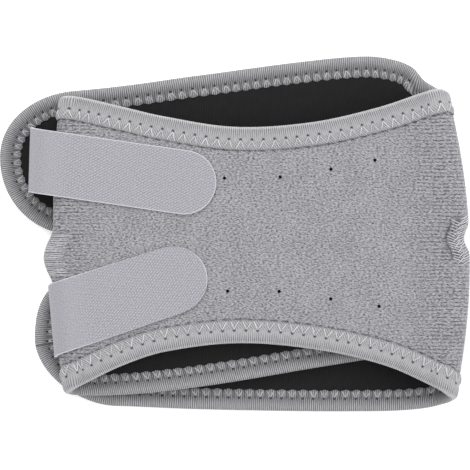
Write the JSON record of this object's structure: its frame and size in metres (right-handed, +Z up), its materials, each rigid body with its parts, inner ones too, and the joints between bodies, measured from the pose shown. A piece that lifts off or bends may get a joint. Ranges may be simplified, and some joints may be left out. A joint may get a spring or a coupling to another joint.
{
  "type": "knee support",
  "caption": "Foam knee support wrap with a ribbed bound edge and rounded hook straps, folded flat into a closed tube with a black lining inside.",
  "frame": {"origin": "middle of the bounding box, on the surface that the folded wrap lies on", "axes": "+X across the leg towards the fold opposite the straps, +Y along the leg, +Z up out of the surface"},
  "size_m": [0.2354, 0.1778, 0.0238],
  "materials": {
    "loop_fabric": "brushed grey loop knit",
    "black_lining": "black foam with a matte jersey lining",
    "ribbed_tape": "finely ribbed grey elastic tape",
    "hook_strap": "light grey twill-backed hook tape"
  },
  "bodies": {
    "root": {"outer_cover": "loop_fabric", "neoprene_core": "black_lining", "edge_binding": "ribbed_tape", "strap_upper": "hook_strap", "strap_lower": "hook_strap"}
  },
  "joints": []
}
